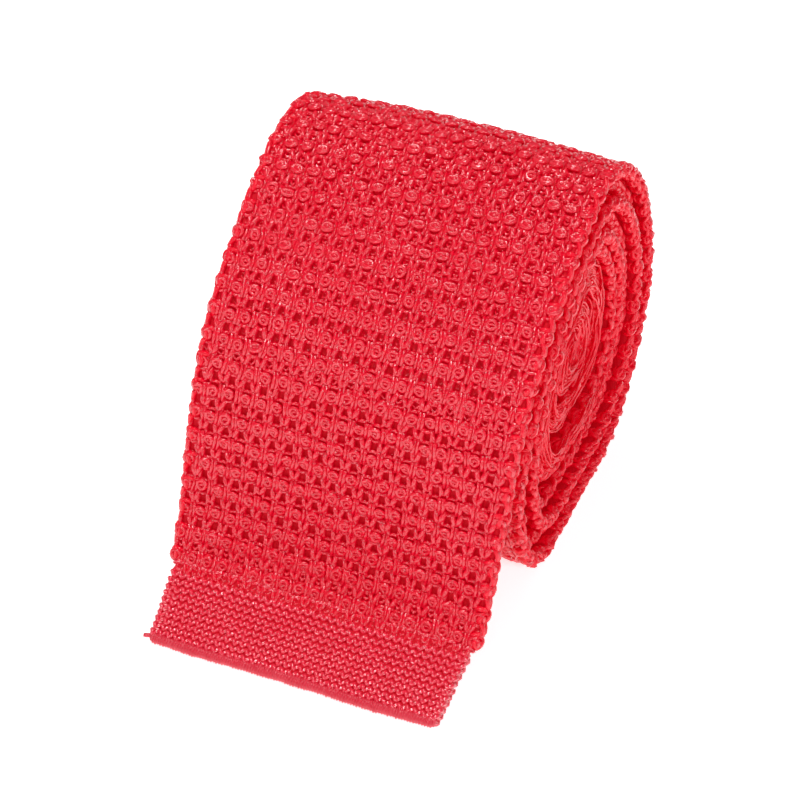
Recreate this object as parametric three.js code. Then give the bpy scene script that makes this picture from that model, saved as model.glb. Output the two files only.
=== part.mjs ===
import * as THREE from "three";

// Millimetres. X runs across the tie, Y from the free end to the back of the roll, Z up.
const bodyWidth = 60;
const joinWidth = 59;
const bandTopWidth = 56.5;
const frontEndWidth = 53.5;
const neckWidth = 51;
const backWidth = 56;
const backEndWidth = 53;

const frontThickness = 2.5;
const neckThickness = 1.9;
const backThickness = 2.3;
const bandThickness = 2.1;
const hemThickness = 2.6;

const frontBandLength = 17.5;
const backBandLength = 14;
const backShortfall = 26.5;
const joinRun = 35;
const layerGap = 0.42;
const joinGap = 0.3;

const rollHeight = 67;
const flapDrift = -0.9;
const driftRun = 80;
const flapShare = 0.985;
const flapReach = flapShare * rollHeight;
const coreRadius = 4.3;
const neckFrom = 0.3;
const neckTo = 0.7;

const lineStep = 0.5;
const foldSteps = 10;
const stationStep = 6;
const bandStep = 2;
const stationTurn = 13;

// The roll: how far the outside of the first turn stands from the roll's middle.
// turn is a share of one full turn from where the flap leaves the roll,
// reach is a share of the roll's height.
const rollOutline = [
  { turn: 0.0, reach: 0.631 },
  { turn: 0.033, reach: 0.594 },
  { turn: 0.069, reach: 0.557 },
  { turn: 0.111, reach: 0.524 },
  { turn: 0.153, reach: 0.503 },
  { turn: 0.194, reach: 0.499 },
  { turn: 0.236, reach: 0.519 },
  { turn: 0.278, reach: 0.549 },
  { turn: 0.306, reach: 0.564 },
  { turn: 0.333, reach: 0.557 },
  { turn: 0.375, reach: 0.536 },
  { turn: 0.417, reach: 0.522 },
  { turn: 0.472, reach: 0.518 },
  { turn: 0.528, reach: 0.536 },
  { turn: 0.583, reach: 0.557 },
  { turn: 0.639, reach: 0.566 },
  { turn: 0.694, reach: 0.576 },
  { turn: 0.736, reach: 0.563 },
  { turn: 0.778, reach: 0.552 },
  { turn: 0.819, reach: 0.569 },
  { turn: 0.861, reach: 0.628 },
  { turn: 0.903, reach: 0.664 },
  { turn: 0.944, reach: 0.655 },
  { turn: 0.972, reach: 0.641 },
];
const flapAngle = 190;
const middleRise = 0.478;
const innerRoundness = 0.1;

// The free flap from the end lying on the table up to the roll, at the middle of its
// thickness. forward is a share of the flap's reach, rise a share of the roll's height.
const flapLine = [
  { forward: -0.0287, rise: 0.0195 },
  { forward: 0.07, rise: 0.0195 },
  { forward: 0.14, rise: 0.026 },
  { forward: 0.2, rise: 0.043 },
  { forward: 0.248, rise: 0.075 },
  { forward: 0.289, rise: 0.14 },
  { forward: 0.321, rise: 0.213 },
  { forward: 0.344, rise: 0.283 },
];

// The rolled hem at a band's free end, all columns as shares of the hem's thickness.
const hemShape = [
  { from: 0.0, bulge: 0.55, inset: 0.35 },
  { from: 0.2, bulge: 0.88, inset: 0.1 },
  { from: 0.5, bulge: 1.0, inset: 0.0 },
  { from: 0.85, bulge: 0.95, inset: 0.0 },
];

// Half of the strip's rounded outline across its width, as shares of its thickness.
const edgeShape = [
  { inset: 0.62, rise: 0.5 },
  { inset: 0.2, rise: 0.38 },
  { inset: 0.0, rise: 0.0 },
  { inset: 0.2, rise: -0.38 },
  { inset: 0.62, rise: -0.5 },
];

const mixed = (a, b, share) => a + (b - a) * share;
const eased = (share) => {
  const t = Math.min(1, Math.max(0, share));
  return t * t * (3 - 2 * t);
};

const middle = new THREE.Vector2(flapReach, middleRise * rollHeight);
const tightReach = rollHeight * Math.min(...rollOutline.map((row) => row.reach));

// How thick the front and back layers are, and how far one turn lies inside the last.
const roomForTurns = tightReach - neckThickness / 2 - coreRadius;
const outerPitch = frontThickness + backThickness + 2 * layerGap;
const innerPitch = 2 * (neckThickness + layerGap);
const slack = 1.05;
const turnCount = (2 * roomForTurns) / (slack * (outerPitch + innerPitch));
const insetAt = (turn) =>
  slack * (outerPitch * turn + ((innerPitch - outerPitch) * turn * turn) / (2 * turnCount));
const frontThicknessAt = (turn) => mixed(frontThickness, neckThickness, eased(turn / turnCount));
const backThicknessAt = (turn) => mixed(backThickness, neckThickness, eased(turn / turnCount));

// The outline is stored for the first turn; a full turn later it closes one pitch further in.
function outlineReach(turn) {
  const rows = rollOutline;
  const share = turn - Math.floor(turn);
  let i = rows.length - 1;
  while (rows[i].turn > share) i -= 1;
  const rowAt = (k) => {
    const lap = Math.floor(k / rows.length);
    const row = rows[k - lap * rows.length];
    return { turn: row.turn + lap, reach: row.reach * rollHeight };
  };
  const [before, from, to, after] = [rowAt(i - 1), rowAt(i), rowAt(i + 1), rowAt(i + 2)];
  const span = to.turn - from.turn;
  const t = (share - from.turn) / span;
  const slopeFrom = ((to.reach - before.reach) / (to.turn - before.turn)) * span;
  const slopeTo = ((after.reach - from.reach) / (after.turn - from.turn)) * span;
  return (
    (2 * t ** 3 - 3 * t ** 2 + 1) * from.reach +
    (t ** 3 - 2 * t ** 2 + t) * slopeFrom +
    (3 * t ** 2 - 2 * t ** 3) * to.reach +
    (t ** 3 - t ** 2) * slopeTo
  );
}

function frontPoint(turn) {
  const roundness = mixed(1, innerRoundness, eased((turn - 1) / (turnCount - 1)));
  const spread = outlineReach(turn) - tightReach;
  const reach = tightReach + spread * roundness - insetAt(turn) - frontThicknessAt(turn) / 2;
  const angle = THREE.MathUtils.degToRad(flapAngle - 360 * turn);
  const point = new THREE.Vector2(Math.cos(angle), Math.sin(angle)).multiplyScalar(reach);
  point.add(middle);
  // The first two turns are pressed flat where the roll rests.
  const lowest = frontThickness / 2 + (turn < 1 ? 0 : insetAt(1));
  if (turn < 2) point.y = Math.max(point.y, lowest);
  return point;
}

const layerStep = (turn) => (frontThicknessAt(turn) + backThicknessAt(turn)) / 2 + layerGap;

// Points every half millimetre along a line, each with its turn of the roll.
function spaced(points, step) {
  const evened = [];
  let travelled = 0;
  let next = 0;
  for (let i = 0; i + 1 < points.length; i += 1) {
    const [a, b] = [points[i], points[i + 1]];
    const length = a.at.distanceTo(b.at);
    while (length > 0 && next <= travelled + length) {
      const share = (next - travelled) / length;
      evened.push({ at: a.at.clone().lerp(b.at, share), turn: mixed(a.turn, b.turn, share) });
      next += step;
    }
    travelled += length;
  }
  return evened;
}

// Middle line of the front layer: the flap, then the turns down to the fold.
function frontLine() {
  const knots = flapLine.map(
    (row) => new THREE.Vector3(row.forward * flapReach, row.rise * rollHeight, 0),
  );
  for (let turn = 0.02; turn < 0.2; turn += 0.02) {
    const point = frontPoint(turn);
    knots.push(new THREE.Vector3(point.x, point.y, 0));
  }
  const curve = new THREE.CatmullRomCurve3(knots, false, "centripetal");
  const points = curve.getPoints(600).map((p) => ({ at: new THREE.Vector2(p.x, p.y), turn: 0 }));
  for (let turn = 0.2; turn < turnCount; turn += 0.004) {
    points.push({ at: frontPoint(turn), turn });
  }
  points.push({ at: frontPoint(turnCount), turn: turnCount });
  return spaced(points, lineStep);
}

function inwardAt(line, i) {
  const from = line[Math.max(0, i - 1)].at;
  const to = line[Math.min(line.length - 1, i + 1)].at;
  const way = to.clone().sub(from).normalize();
  return new THREE.Vector2(way.y, -way.x);
}

// The whole tie: along the front layer, round the fold, and back just inside it.
function tieLine() {
  const front = frontLine();
  const last = front.length - 1;
  const points = front.map((p) => ({ ...p, thickness: frontThicknessAt(p.turn) }));
  const inward = inwardAt(front, last);
  const ahead = new THREE.Vector2(-inward.y, inward.x);
  const foldRadius = layerStep(turnCount) / 2;
  const pivot = front[last].at.clone().addScaledVector(inward, foldRadius);
  for (let i = 1; i < foldSteps; i += 1) {
    const angle = (Math.PI * i) / foldSteps;
    const at = pivot.clone().addScaledVector(inward, -foldRadius * Math.cos(angle));
    at.addScaledVector(ahead, foldRadius * Math.sin(angle));
    points.push({ at, turn: turnCount, thickness: neckThickness });
  }
  for (let i = last; i * lineStep >= backShortfall; i -= 1) {
    const { at, turn } = front[i];
    const inner = at.clone().addScaledVector(inwardAt(front, i), layerStep(turn));
    points.push({ at: inner, turn, thickness: backThicknessAt(turn) });
  }
  let along = 0;
  points.forEach((point, i) => {
    if (i > 0) along += point.at.distanceTo(points[i - 1].at);
    point.along = along;
  });
  return points;
}

const line = tieLine();
const tieLength = line[line.length - 1].along;

function widthAt(along) {
  const share = along / tieLength;
  const fromBack = tieLength - along;
  if (along < frontBandLength) return mixed(frontEndWidth, bandTopWidth, along / frontBandLength);
  if (fromBack < backBandLength) return mixed(backEndWidth, backWidth, fromBack / backBandLength);
  if (share < neckFrom) {
    return mixed(joinWidth, bodyWidth, eased((along - frontBandLength) / joinRun));
  }
  if (share < 0.5) return mixed(bodyWidth, neckWidth, eased((share - neckFrom) / (0.5 - neckFrom)));
  return mixed(neckWidth, backWidth, eased((share - 0.5) / (neckTo - 0.5)));
}

// The flap lies a little to one side of the roll.
const driftAt = (along) => flapDrift * (1 - eased(along / driftRun));

// Cross-sections between two places on the line, closer together where it bends more.
function stations(from, to) {
  const pointAt = (along) => {
    let i = line.findIndex((p) => p.along >= along);
    if (i < 1) i = i < 0 ? line.length - 1 : 1;
    const [a, b] = [line[i - 1], line[i]];
    const share = Math.min(1, (along - a.along) / (b.along - a.along));
    const way = b.at.clone().sub(a.at).normalize();
    return {
      at: a.at.clone().lerp(b.at, share),
      turn: mixed(a.turn, b.turn, share),
      thickness: mixed(a.thickness, b.thickness, share),
      way,
      along,
    };
  };
  const rows = [pointAt(from)];
  const inner = line.filter((p) => p.along > from + 0.4 && p.along < to - 0.4);
  inner.forEach((point) => {
    const here = pointAt(point.along);
    const before = rows[rows.length - 1];
    const turned = Math.abs(THREE.MathUtils.radToDeg(here.way.angleTo(before.way)));
    if (turned > stationTurn || here.along - before.along > stationStep) rows.push(here);
  });
  rows.push(pointAt(to));
  return rows.map((row, i) => {
    const before = rows[Math.max(0, i - 1)];
    const after = rows[Math.min(rows.length - 1, i + 1)];
    const way = i === 0 || i === rows.length - 1 ? row.way : after.at.clone().sub(before.at);
    const facing = new THREE.Vector2(way.y, -way.x).normalize();
    return { ...row, facing };
  });
}

// A closed strip through the stations, with rounded long edges and flat ends.
function strip(rows) {
  const positions = [];
  const faces = [];
  const ring = 2 * edgeShape.length;
  rows.forEach((row) => {
    const half = widthAt(row.along) / 2 - (row.inset || 0);
    const right = edgeShape.map((edge) => [half - edge.inset * row.thickness, edge.rise]);
    const left = edgeShape.map((edge) => [edge.inset * row.thickness - half, edge.rise]).reverse();
    [...right, ...left].forEach(([x, rise]) => {
      const at = row.at.clone().addScaledVector(row.facing, -rise * row.thickness);
      positions.push(x + driftAt(row.along), at.x, at.y);
    });
  });
  for (let i = 0; i + 1 < rows.length; i += 1) {
    for (let j = 0; j < ring; j += 1) {
      const a = i * ring + j;
      const b = i * ring + ((j + 1) % ring);
      faces.push(a, b, a + ring, b, b + ring, a + ring);
    }
  }
  const end = (rows.length - 1) * ring;
  for (let j = 1; j + 1 < ring; j += 1) {
    faces.push(0, j + 1, j);
    faces.push(end, end + j, end + j + 1);
  }
  const geometry = new THREE.BufferGeometry();
  geometry.setAttribute("position", new THREE.Float32BufferAttribute(positions, 3));
  geometry.setIndex(faces);
  geometry.computeVertexNormals();
  return geometry;
}

// A band thins from its rolled hem to a flat plain knit; fromEnd is measured from the hem.
function bandRows(from, to, hemAt) {
  const marks = hemShape.map((row) => row.from * hemThickness);
  const length = Math.abs(to - from);
  for (let fromEnd = 1.3 * hemThickness; fromEnd < length; fromEnd += bandStep) marks.push(fromEnd);
  marks.push(length);
  const places = marks.map((mark) => (hemAt === from ? from + mark : to - mark));
  places.sort((a, b) => a - b);
  return places.map((along) => {
    const [row] = stations(along, along + lineStep);
    const fromEnd = Math.abs(along - hemAt);
    const share = fromEnd / hemThickness;
    let i = hemShape.findIndex((shape) => shape.from > share);
    if (i < 0) return { ...row, thickness: bandThickness };
    const [a, b] = [hemShape[i - 1], hemShape[i]];
    const t = (share - a.from) / (b.from - a.from);
    return {
      ...row,
      thickness: hemThickness * mixed(a.bulge, b.bulge, t),
      inset: hemThickness * mixed(a.inset, b.inset, t),
    };
  });
}

const knitColour = 0xe8203c;
const plainColour = 0xe0203a;

function piece(name, geometry, colour, roughness) {
  const material = new THREE.MeshStandardMaterial({ color: colour, roughness, metalness: 0 });
  const mesh = new THREE.Mesh(geometry, material);
  mesh.name = name;
  return mesh;
}

const bodyFrom = frontBandLength + joinGap;
const bodyTo = tieLength - backBandLength - joinGap;
const tie = new THREE.Group();
tie.name = "knit_tie";
tie.add(piece("body", strip(stations(bodyFrom, bodyTo)), knitColour, 0.6));
tie.add(piece("front_band", strip(bandRows(0, frontBandLength, 0)), plainColour, 0.55));
const backFrom = tieLength - backBandLength;
tie.add(piece("back_band", strip(bandRows(backFrom, tieLength, tieLength)), plainColour, 0.55));

const box = new THREE.Box3().setFromObject(tie);
const centre = box.getCenter(new THREE.Vector3());
tie.children.forEach((mesh) => mesh.geometry.translate(-centre.x, -centre.y, -box.min.z));

export default tie;
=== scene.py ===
import math

import bmesh
import bpy
import numpy as np
from mathutils import Matrix, Vector


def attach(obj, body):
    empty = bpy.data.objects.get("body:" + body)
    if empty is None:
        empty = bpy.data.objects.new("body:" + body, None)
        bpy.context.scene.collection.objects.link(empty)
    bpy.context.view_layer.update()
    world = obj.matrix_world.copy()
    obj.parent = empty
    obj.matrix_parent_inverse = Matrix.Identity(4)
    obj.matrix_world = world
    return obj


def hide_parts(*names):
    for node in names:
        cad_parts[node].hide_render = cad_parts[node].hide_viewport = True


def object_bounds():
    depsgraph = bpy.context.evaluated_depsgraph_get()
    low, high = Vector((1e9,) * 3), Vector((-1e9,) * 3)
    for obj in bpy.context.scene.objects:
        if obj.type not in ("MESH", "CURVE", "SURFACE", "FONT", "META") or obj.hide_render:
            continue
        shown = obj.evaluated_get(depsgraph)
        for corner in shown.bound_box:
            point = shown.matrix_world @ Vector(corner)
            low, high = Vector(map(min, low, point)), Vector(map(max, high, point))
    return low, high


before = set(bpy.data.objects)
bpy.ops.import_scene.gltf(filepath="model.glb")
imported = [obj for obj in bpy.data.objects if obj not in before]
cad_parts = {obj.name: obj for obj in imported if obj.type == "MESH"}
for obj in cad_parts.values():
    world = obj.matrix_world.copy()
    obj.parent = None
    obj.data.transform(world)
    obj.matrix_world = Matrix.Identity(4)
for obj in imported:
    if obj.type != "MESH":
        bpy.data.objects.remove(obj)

cadLow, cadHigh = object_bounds()
metre = 0.001  # everything below is in millimetres until it becomes a mesh
fullTurn = 6.28  # the range of random phases and angles

# the same sizes as the solids
tie = {
    "bodyWidth": 60, "joinWidth": 59, "bandTopWidth": 56.5, "frontEndWidth": 53.5,
    "neckWidth": 51, "backWidth": 56, "backEndWidth": 53,
    "frontThickness": 2.5, "neckThickness": 1.9, "backThickness": 2.3,
    "frontBandLength": 17.5, "backBandLength": 14, "backShortfall": 26.5, "joinRun": 35,
    "layerGap": 0.42, "joinGap": 0.3,
    "rollHeight": 67, "flapShare": 0.985, "coreRadius": 4.3,
    "flapDrift": -0.9, "driftRun": 80,
    "neckFrom": 0.3, "neckTo": 0.7, "lineStep": 0.5, "foldSteps": 10,
    "flapAngle": 190, "middleRise": 0.478, "innerRoundness": 0.1, "slack": 1.05,
}
# outside of the first turn: share of a turn, reach as a share of the roll's height
rollOutline = [
    (0.0, 0.631), (0.033, 0.594), (0.069, 0.557), (0.111, 0.524), (0.153, 0.503),
    (0.194, 0.499), (0.236, 0.519), (0.278, 0.549), (0.306, 0.564), (0.333, 0.557),
    (0.375, 0.536), (0.417, 0.522), (0.472, 0.518), (0.528, 0.536), (0.583, 0.557),
    (0.639, 0.566), (0.694, 0.576), (0.736, 0.563), (0.778, 0.552), (0.819, 0.569),
    (0.861, 0.628), (0.903, 0.664), (0.944, 0.655), (0.972, 0.641),
]
# the flap: forward as a share of its reach, rise as a share of the roll's height
flapLine = [
    (-0.0287, 0.0195), (0.07, 0.0195), (0.14, 0.026), (0.2, 0.043), (0.248, 0.075),
    (0.289, 0.14), (0.321, 0.213), (0.344, 0.283),
]


def mixed(a, b, share):
    return a + (b - a) * share


def eased(share):
    t = np.clip(share, 0, 1)
    return t * t * (3 - 2 * t)


# where along the tie the outer turn bulges at the top of the roll, and by how much: across, rise
crown = {"at": 158, "backAt": 131, "run": 75}
crownShape = [(-30, -0.4), (-24, 0.5), (-17, 2.1), (-5, 2.7), (8, 2.5), (14, 1.6), (23, 1.0), (30, 0.2)]
endDrift = {"shift": 1.4, "run": 14}  # the hem lies a little to the right

# the line of the cloth, seen from the side, and how finely it is worked out
lineDetail = {"flapSteps": 600, "knotStep": 0.02, "knotsBefore": 0.1999, "roundFrom": 0.2, "roundStep": 0.004}
flapReach = tie["flapShare"] * tie["rollHeight"]
rollMiddle = np.array([flapReach, tie["middleRise"] * tie["rollHeight"]])
tightReach = tie["rollHeight"] * min(reach for _, reach in rollOutline)
roomForTurns = tightReach - tie["neckThickness"] / 2 - tie["coreRadius"]
outerPitch = tie["frontThickness"] + tie["backThickness"] + 2 * tie["layerGap"]
innerPitch = 2 * (tie["neckThickness"] + tie["layerGap"])
turnCount = 2 * roomForTurns / (tie["slack"] * (outerPitch + innerPitch))


def insetAt(turn):
    return tie["slack"] * (outerPitch * turn + (innerPitch - outerPitch) * turn**2 / (2 * turnCount))


def frontThicknessAt(turn):
    return mixed(tie["frontThickness"], tie["neckThickness"], eased(turn / turnCount))


def backThicknessAt(turn):
    return mixed(tie["backThickness"], tie["neckThickness"], eased(turn / turnCount))


def layerStep(turn):
    return (frontThicknessAt(turn) + backThicknessAt(turn)) / 2 + tie["layerGap"]


def outlineReach(turn):
    count = len(rollOutline)
    share = turn - math.floor(turn)
    i = max(k for k in range(count) if rollOutline[k][0] <= share)

    def rowAt(k):
        lap = k // count
        place, reach = rollOutline[k - lap * count]
        return place + lap, reach * tie["rollHeight"]

    (t0, r0), (t1, r1), (t2, r2), (t3, r3) = [rowAt(k) for k in (i - 1, i, i + 1, i + 2)]
    span = t2 - t1
    t = (share - t1) / span
    slopeFrom, slopeTo = (r2 - r0) / (t2 - t0) * span, (r3 - r1) / (t3 - t1) * span
    return (
        (2 * t**3 - 3 * t**2 + 1) * r1 + (t**3 - 2 * t**2 + t) * slopeFrom
        + (3 * t**2 - 2 * t**3) * r2 + (t**3 - t**2) * slopeTo
    )


def frontPoint(turn):
    roundness = mixed(1, tie["innerRoundness"], eased((turn - 1) / (turnCount - 1)))
    spread = outlineReach(turn) - tightReach
    reach = tightReach + spread * roundness - insetAt(turn) - frontThicknessAt(turn) / 2
    angle = math.radians(tie["flapAngle"] - 360 * turn)
    point = rollMiddle + reach * np.array([math.cos(angle), math.sin(angle)])
    if turn < 2:  # pressed flat where the roll rests
        point[1] = max(point[1], tie["frontThickness"] / 2 + (insetAt(1) if turn >= 1 else 0))
    return point


def throughKnots(knots, steps):  # centripetal Catmull-Rom
    knots = [2 * knots[0] - knots[1], *knots, 2 * knots[-1] - knots[-2]]
    last = len(knots) - 3
    points = []
    for step in range(steps + 1):
        place = last * step / steps
        i = min(int(place), last - 1)
        t = place - i
        a, b, c, d = knots[i : i + 4]
        near, mid, far = [math.sqrt(np.linalg.norm(q - p)) for p, q in ((a, b), (b, c), (c, d))]
        tanB = ((b - a) / near - (c - a) / (near + mid) + (c - b) / mid) * mid
        tanC = ((c - b) / mid - (d - b) / (mid + far) + (d - c) / far) * mid
        points.append(
            b + tanB * t + (-3 * b + 3 * c - 2 * tanB - tanC) * t**2
            + (2 * b - 2 * c + tanB + tanC) * t**3
        )
    return points


def clothLine():
    knots = [np.array([f * flapReach, r * tie["rollHeight"]]) for f, r in flapLine]
    firstTurns = np.arange(lineDetail["knotStep"], lineDetail["knotsBefore"], lineDetail["knotStep"])
    knots += [frontPoint(turn) for turn in firstTurns]
    rough = [(*point, 0.0) for point in throughKnots(knots, lineDetail["flapSteps"])]
    laterTurns = np.arange(lineDetail["roundFrom"], turnCount, lineDetail["roundStep"])
    rough += [(*frontPoint(turn), turn) for turn in laterTurns]
    rough = np.array(rough + [(*frontPoint(turnCount), turnCount)])
    travelled = np.concatenate([[0], np.cumsum(np.hypot(*np.diff(rough[:, :2], axis=0).T))])
    even = np.arange(0, travelled[-1], tie["lineStep"])
    front = np.stack([np.interp(even, travelled, rough[:, k]) for k in range(3)], axis=1)
    way = np.gradient(front[:, :2], axis=0)
    way /= np.linalg.norm(way, axis=1)[:, None]
    inward = np.stack([way[:, 1], -way[:, 0]], axis=1)
    rows = [(y, z, turn, frontThicknessAt(turn)) for y, z, turn in front]
    radius = layerStep(turnCount) / 2
    pivot = front[-1, :2] + inward[-1] * radius
    for i in range(1, tie["foldSteps"]):
        angle = math.pi * i / tie["foldSteps"]
        at = pivot - inward[-1] * radius * math.cos(angle) + way[-1] * radius * math.sin(angle)
        rows.append((*at, turnCount, tie["neckThickness"]))
    first = math.ceil(tie["backShortfall"] / tie["lineStep"])
    for i in range(len(front) - 1, first - 1, -1):
        turn = front[i, 2]
        rows.append((*(front[i, :2] + inward[i] * layerStep(turn)), turn, backThicknessAt(turn)))
    rows = np.array(rows)
    along = np.concatenate([[0], np.cumsum(np.hypot(*np.diff(rows[:, :2], axis=0).T))])
    return rows, along, len(front)


lineRows, lineAlong, frontCount = clothLine()
tieLength = lineAlong[-1]
foldAt = lineAlong[frontCount + tie["foldSteps"] // 2 - 1]  # the middle of the fold
lineWay = np.gradient(lineRows[:, :2], axis=0)
lineWay /= np.linalg.norm(lineWay, axis=1)[:, None]
for _ in range(3):  # evens the small kinks of the line
    lineWay[1:-1] = (lineWay[:-2] + 2 * lineWay[1:-1] + lineWay[2:]) / 4
lineWay /= np.linalg.norm(lineWay, axis=1)[:, None]


def widthAt(s):
    share, fromBack = s / tieLength, tieLength - s
    middle = 0.5  # the fold, as a share of the length
    fromJoin = eased((s - tie["frontBandLength"]) / tie["joinRun"])
    toNeck = eased((share - tie["neckFrom"]) / (middle - tie["neckFrom"]))
    fromNeck = eased((share - middle) / (tie["neckTo"] - middle))
    front = mixed(tie["joinWidth"], tie["bodyWidth"], fromJoin)
    neck = mixed(tie["bodyWidth"], tie["neckWidth"], toNeck)
    back = mixed(tie["neckWidth"], tie["backWidth"], fromNeck)
    width = np.where(share < tie["neckFrom"], front, np.where(share < middle, neck, back))
    frontBand = mixed(tie["frontEndWidth"], tie["bandTopWidth"], np.clip(s / tie["frontBandLength"], 0, 1))
    backBand = mixed(tie["backEndWidth"], tie["backWidth"], np.clip(fromBack / tie["backBandLength"], 0, 1))
    width = np.where(s < tie["frontBandLength"], frontBand, width)
    return np.where(fromBack < tie["backBandLength"], backBand, width)


def driftAt(s):  # the flap lies a little to one side
    return tie["flapDrift"] * (1 - eased(s / tie["driftRun"]))


# the line sits where the solids' box is
moveY = cadLow.y / metre - lineRows[0, 0]
moveX = cadLow.x / metre - float(np.min(driftAt(lineAlong) - widthAt(lineAlong) / 2))


def lineAt(s):
    y, z, turn, thick = [np.interp(s, lineAlong, lineRows[:, k]) for k in range(4)]
    wayY, wayZ = [np.interp(s, lineAlong, lineWay[:, k]) for k in range(2)]
    size = np.hypot(wayY, wayZ)
    over = np.clip(s - tieLength, 0, None) + np.clip(s, None, 0)  # runs straight on past the ends
    return y + over * wayY / size, z + over * wayZ / size, turn, thick, wayY / size, wayZ / size


def onCloth(s, u, h):
    # s along, u across, h above the middle of the cloth on its right side
    s, u, h = np.broadcast_arrays(*[np.asarray(v, float) for v in (s, u, h)])
    y, z, turn, _, wayY, wayZ = lineAt(s)
    outer = eased(1 - np.abs(s - crown["at"]) / crown["run"])
    inner = eased(1 - np.abs(tieLength - s - crown["backAt"]) / crown["run"])  # the back part under it
    h = h + (outer - inner) * np.interp(u, *zip(*crownShape))
    u = u + endDrift["shift"] * (1 - eased(s / endDrift["run"]))
    return np.stack([u + driftAt(s) + moveX, y - wayZ * h + moveY, z + wayY * h], axis=-1)


# helpers for meshes
def newMesh(name, verts, faces, uvs=None, smooth=True):
    mesh = bpy.data.meshes.new(name)
    verts = np.asarray(verts, float) * metre
    mesh.from_pydata(verts.tolist(), [], [list(map(int, face)) for face in faces])
    if uvs is not None:
        layer = mesh.uv_layers.new(name="UVMap")
        layer.data.foreach_set("uv", np.asarray(uvs, np.float32).ravel())
    mesh.update()
    if smooth:
        mesh.polygons.foreach_set("use_smooth", [True] * len(mesh.polygons))
    obj = bpy.data.objects.new(name, mesh)
    bpy.context.collection.objects.link(obj)
    return obj


def tubeParts(path, radius, sides, closed=False):
    # vertices, faces and corner uvs of a tube; u runs along it in millimetres, v once round it
    path = np.asarray(path, float)
    count = len(path)
    radius = np.broadcast_to(np.asarray(radius, float), (count,))
    if closed:
        way = np.roll(path, -1, 0) - np.roll(path, 1, 0)
    else:
        way = np.gradient(path, axis=0)
    way /= np.linalg.norm(way, axis=1)[:, None]
    up = np.array([0.0, 0.0, 1.0])
    side = np.cross(way, up)
    steep = np.linalg.norm(side, axis=1) < 0.2  # where the tube runs nearly straight up
    if steep.any():
        side[steep] = np.cross(way[steep], np.array([0.0, 1.0, 0.0]))
        for i in range(1, count):
            if side[i] @ side[i - 1] < 0:
                side[i] *= -1
    side /= np.linalg.norm(side, axis=1)[:, None]
    top = np.cross(side, way)
    angle = np.arange(sides) * 2 * math.pi / sides + math.pi / 2
    ring = side[:, None] * np.cos(angle)[None, :, None] + top[:, None] * np.sin(angle)[None, :, None]
    verts = (path[:, None] + radius[:, None, None] * ring).reshape(-1, 3)
    steps = np.concatenate([[0], np.cumsum(np.linalg.norm(np.diff(path, axis=0), axis=1))])
    faces, uvs = [], []
    rings = count if closed else count - 1
    for i in range(rings):
        nextRing = (i + 1) % count
        fromAt = steps[i]
        toAt = steps[i + 1] if i + 1 < count else steps[-1] + np.linalg.norm(path[0] - path[-1])
        for j in range(sides):
            k = (j + 1) % sides
            faces.append((i * sides + j, i * sides + k, nextRing * sides + k, nextRing * sides + j))
            low, high = j / sides, (j + 1) / sides
            uvs += [(fromAt, low), (fromAt, high), (toAt, high), (toAt, low)]
    if not closed:
        faces.append(tuple(range(sides - 1, -1, -1)))
        uvs += [(0.0, j / sides) for j in range(sides - 1, -1, -1)]
        faces.append(tuple((count - 1) * sides + j for j in range(sides)))
        uvs += [(steps[-1], j / sides) for j in range(sides)]
    return verts, faces, uvs


def joinParts(parts):
    verts, faces, uvs, base = [], [], [], 0
    for partVerts, partFaces, partUvs in parts:
        verts.append(partVerts)
        faces += [tuple(v + base for v in face) for face in partFaces]
        uvs += partUvs
        base += len(partVerts)
    return np.concatenate(verts), faces, uvs


def fixOutward(obj):
    work = bmesh.new()
    work.from_mesh(obj.data)
    bmesh.ops.recalc_face_normals(work, faces=work.faces)
    work.to_mesh(obj.data)
    work.free()
    return obj


def pressFlat(obj, floorAt=0.05):
    # nothing of the yarn goes through the surface it rests on
    data = np.empty(len(obj.data.vertices) * 3, np.float32)
    obj.data.vertices.foreach_get("co", data)
    data = data.reshape(-1, 3)
    low = data[:, 2] < floorAt * metre
    data[low, 2] = floorAt * metre
    obj.data.vertices.foreach_set("co", data.ravel())
    obj.data.update()
    return obj


# materials
def socket(group, name, kind, way="INPUT", value=None):
    made = group.interface.new_socket(name=name, in_out=way, socket_type=kind)
    if value is not None:
        made.default_value = value


def addNode(tree, kind, wires, output=0, **settings):
    # a node with its inputs wired or set; gives back one of its outputs
    node = tree.nodes.new(kind)
    for setting, value in settings.items():
        setattr(node, setting, value)
    for spot, source in wires.items():
        if isinstance(source, bpy.types.NodeSocket):
            tree.links.new(source, node.inputs[spot])
        else:
            node.inputs[spot].default_value = source
    return node.outputs[output]


fibre = {
    "grainScale": 420, "grainHeight": 0.8, "patchScale": 90, "fineCount": 10.0, "fineHeight": 0.1,
    "grooveShadeShare": 0.6, "darkRoughness": 0.15,
}


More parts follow.
